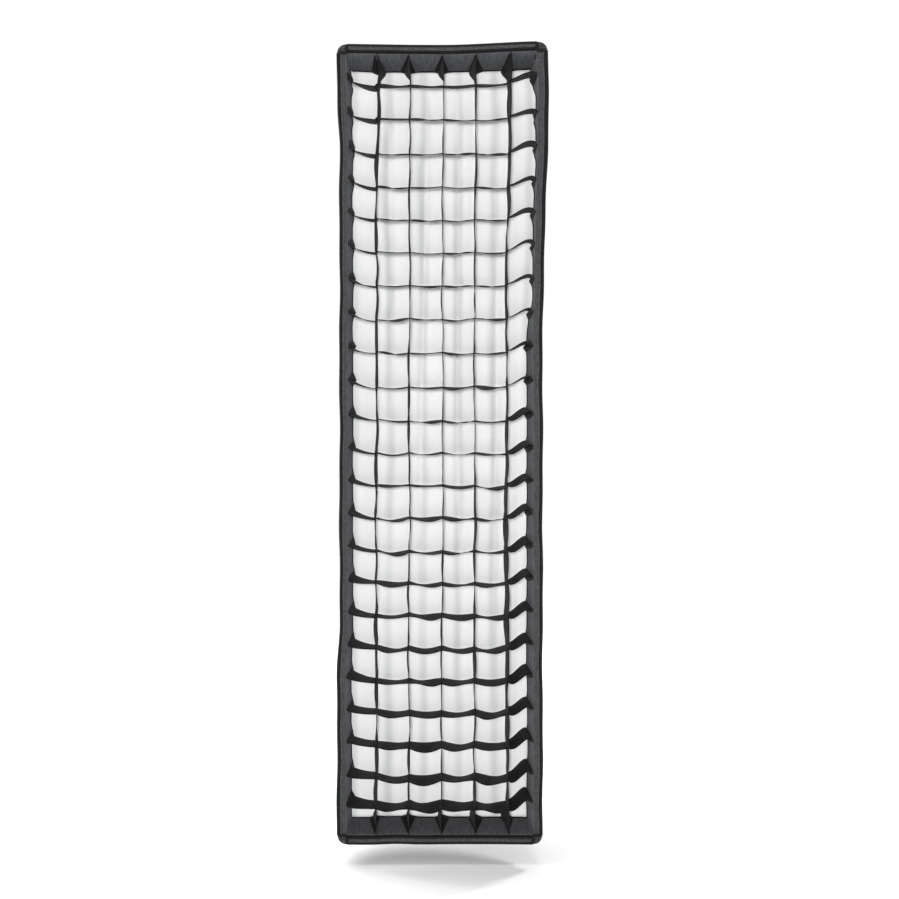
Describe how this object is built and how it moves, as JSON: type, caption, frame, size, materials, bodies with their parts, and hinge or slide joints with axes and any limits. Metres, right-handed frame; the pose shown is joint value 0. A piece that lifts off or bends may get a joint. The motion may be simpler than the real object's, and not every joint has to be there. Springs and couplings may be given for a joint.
{
  "type": "strip softbox",
  "caption": "Tall narrow studio softbox with bowed black shell, spring rods, rotating speed ring, white front diffuser, inner baffle and fabric egg-crate grid.",
  "frame": {"origin": "centre of the bayonet insert's rear mating face, on the bore's axis", "axes": "+Y along the bore towards the light, +Z along the softbox's long side, +X across; the lit front faces -Y"},
  "size_m": [0.31, 0.451, 1.22],
  "materials": {
    "steel_insert": "turned, bright zinc plate",
    "screw_steel": "satin",
    "cast_ring": "fine black powder coat on cast aluminium",
    "knob_plastic": "satin",
    "tip_rubber": "matte",
    "ferrule_brass": "satin",
    "rod_steel": "drawn spring steel",
    "shell_cloth": "black coated nylon outside, silver inside",
    "binding_tape": "woven polyester tape, slight sheen",
    "webbing": "woven nylon webbing",
    "elastic_band": "ribbed elastic",
    "hook_and_loop": "hook and loop tape",
    "diffuser_cloth": "translucent white ripstop",
    "band_cloth": "charcoal woven loop cloth",
    "grid_cloth": "black nylon with heat-cut edges"
  },
  "bodies": {
    "insert": {"mount_insert": "steel_insert", "retaining_ring": "steel_insert", "retaining_screws": "screw_steel"},
    "softbox": {"baffle_loop_tabs": "webbing", "collar_elastic": "elastic_band", "corner_pocket_bottom_left": "webbing", "corner_pocket_bottom_right": "webbing", "corner_pocket_top_left": "webbing", "corner_pocket_top_right": "webbing", "front_lip_bottom": "shell_cloth", "front_lip_left": "shell_cloth", "front_lip_right": "shell_cloth", "front_lip_top": "shell_cloth", "lip_loop_tapes": "hook_and_loop", "rear_collar": "shell_cloth", "rim_binding_bottom": "binding_tape", "rim_binding_left": "binding_tape", "rim_binding_right": "binding_tape", "rim_binding_top": "binding_tape", "rod_bottom_left": "rod_steel", "rod_bottom_right": "rod_steel", "rod_ferrules": "ferrule_brass", "rod_socket_bottom_left": "cast_ring", "rod_socket_bottom_right": "cast_ring", "rod_socket_top_left": "cast_ring", "rod_socket_top_right": "cast_ring", "rod_tips": "tip_rubber", "rod_top_left": "rod_steel", "rod_top_right": "rod_steel", "seam_piping_bottom_left": "binding_tape", "seam_piping_bottom_right": "binding_tape", "seam_piping_top_left": "binding_tape", "seam_piping_top_right": "binding_tape", "shell_panel_bottom": "shell_cloth", "shell_panel_left": "shell_cloth", "shell_panel_right": "shell_cloth", "shell_panel_top": "shell_cloth", "speedring_body": "cast_ring"},
    "lock_screw": {"lock_screw": "screw_steel"},
    "lock_knob": {"lock_knob": "knob_plastic"},
    "baffle": {"inner_baffle": "diffuser_cloth", "baffle_binding": "binding_tape", "baffle_straps": "webbing"},
    "diffuser": {"front_diffuser": "diffuser_cloth", "diffuser_hook_border": "hook_and_loop"},
    "grid": {"grid_band_bottom": "band_cloth", "grid_band_left": "band_cloth", "grid_band_right": "band_cloth", "grid_band_top": "band_cloth", "grid_cross_strips": "grid_cloth", "grid_vertical_1": "grid_cloth", "grid_vertical_2": "grid_cloth", "grid_vertical_3": "grid_cloth", "grid_vertical_4": "grid_cloth", "grid_vertical_5": "grid_cloth"}
  },
  "joints": [
    {"name": "softbox_turn", "type": "hinge", "parent": "insert", "child": "softbox", "pos_m": [0, 0, 0], "axis": [0, 1, 0], "continuous": true},
    {"name": "lock_travel", "type": "slide", "parent": "softbox", "child": "lock_screw", "axis": [1, 0, 0], "range_m": [0, 0.002]},
    {"name": "lock_turn", "type": "hinge", "parent": "lock_screw", "child": "lock_knob", "pos_m": [0.09, -0.015, 0], "axis": [1, 0, 0], "range_deg": [0, 720]},
    {"name": "baffle_pull", "type": "slide", "parent": "softbox", "child": "baffle", "axis": [0, -1, 0], "range_m": [0, 0.24]},
    {"name": "diffuser_pull", "type": "slide", "parent": "baffle", "child": "diffuser", "axis": [0, -1, 0], "range_m": [0, 0.12]},
    {"name": "grid_pull", "type": "slide", "parent": "diffuser", "child": "grid", "axis": [0, -1, 0], "range_m": [0, 0.08]}
  ],
  "couplings": [
    {"joint": "lock_travel", "follows": "lock_turn", "m_per_rad": 0.000159}
  ]
}
